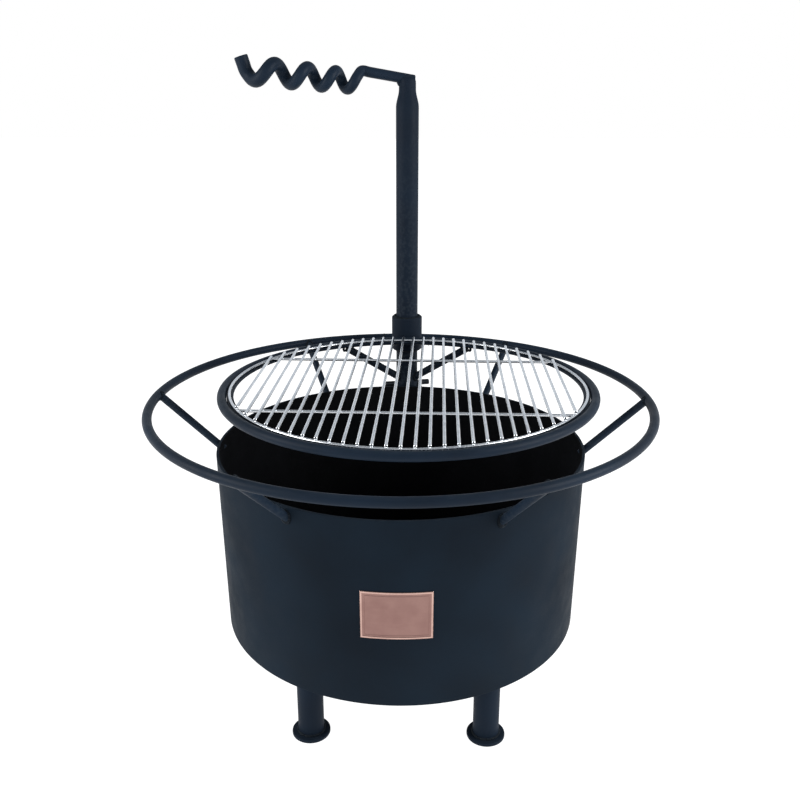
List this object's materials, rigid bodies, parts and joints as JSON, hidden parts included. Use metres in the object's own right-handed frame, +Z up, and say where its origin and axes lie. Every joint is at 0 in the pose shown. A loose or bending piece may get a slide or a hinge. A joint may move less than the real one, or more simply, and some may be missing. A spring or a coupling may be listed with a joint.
{
  "type": "fire pit with swinging grate",
  "caption": "Open steel drum on pipe legs with a guard ring on spokes, and a wire cooking grate on a mast that lifts and swings by a coiled bar handle.",
  "frame": {"origin": "on the floor, on the drum's vertical axis", "axes": "+Z up, +Y to the back where the mast stands, +X to the right as seen from the front"},
  "size_m": [1.043, 1.043, 1.3856],
  "materials": {
    "drum_enamel": "semi-gloss heat-resisting enamel, blue-black",
    "black_enamel": "semi-gloss heat-resisting enamel, blue-black",
    "plated_wire": "bright nickel-plated wire",
    "copper_plate": "brushed copper, slightly tarnished",
    "bare_steel": "oiled dark steel"
  },
  "bodies": {
    "root": {"drum_shell": "drum_enamel", "drum_bottom_plate": "drum_enamel", "leg_front_left": "black_enamel", "leg_front_right": "black_enamel", "leg_rear_right": "black_enamel", "leg_rear_left": "black_enamel", "foot_plate_front_left": "black_enamel", "foot_plate_front_right": "black_enamel", "foot_plate_rear_right": "black_enamel", "foot_plate_rear_left": "black_enamel", "guard_ring": "black_enamel", "guard_spoke_left": "black_enamel", "guard_spoke_front_left": "black_enamel", "guard_spoke_front_right": "black_enamel", "guard_spoke_right": "black_enamel", "guard_spoke_back_right": "black_enamel", "guard_spoke_back_left": "black_enamel", "nameplate": "copper_plate", "socket_tube": "black_enamel", "socket_standoff": "black_enamel"},
    "bushing": {"mast_bushing": "bare_steel"},
    "swing_mast": {"mast_tube": "black_enamel", "mast_collar": "black_enamel", "grate_frame_ring": "black_enamel", "grate_seat_ring": "black_enamel", "brace_left": "black_enamel", "brace_right": "black_enamel", "handle_bar": "black_enamel"},
    "height_pin": {"height_pin": "bare_steel"},
    "wire_grate": {"grate_wire_ring": "plated_wire", "grate_cross_rod_front": "plated_wire", "grate_cross_rod_back": "plated_wire", "grate_rod_01": "plated_wire", "grate_rod_02": "plated_wire", "grate_rod_03": "plated_wire", "grate_rod_04": "plated_wire", "grate_rod_05": "plated_wire", "grate_rod_06": "plated_wire", "grate_rod_07": "plated_wire", "grate_rod_08": "plated_wire", "grate_rod_09": "plated_wire", "grate_rod_10": "plated_wire", "grate_rod_11": "plated_wire", "grate_rod_12": "plated_wire", "grate_rod_13": "plated_wire", "grate_rod_14": "plated_wire", "grate_rod_15": "plated_wire", "grate_rod_16": "plated_wire", "grate_rod_17": "plated_wire", "grate_rod_18": "plated_wire", "grate_rod_19": "plated_wire", "grate_rod_20": "plated_wire", "grate_rod_21": "plated_wire", "grate_rod_22": "plated_wire", "grate_rod_23": "plated_wire", "grate_rod_24": "plated_wire", "grate_rod_25": "plated_wire", "grate_rod_26": "plated_wire", "grate_rod_27": "plated_wire"}
  },
  "joints": [
    {"name": "mast_swivel", "type": "hinge", "parent": "root", "child": "bushing", "pos_m": [0, 0.43, 0.58], "axis": [0, 0, 1], "range_deg": [-30, 30]},
    {"name": "mast_lift", "type": "slide", "parent": "bushing", "child": "swing_mast", "axis": [0, 0, 1], "range_m": [0, 0.2]},
    {"name": "height_pin_pull", "type": "slide", "parent": "swing_mast", "child": "height_pin", "axis": [0.9699, 0.2436, 0], "range_m": [0, 0.1]},
    {"name": "grate_lift_off", "type": "slide", "parent": "swing_mast", "child": "wire_grate", "axis": [0, 0, 1], "range_m": [0, 0.25]}
  ]
}
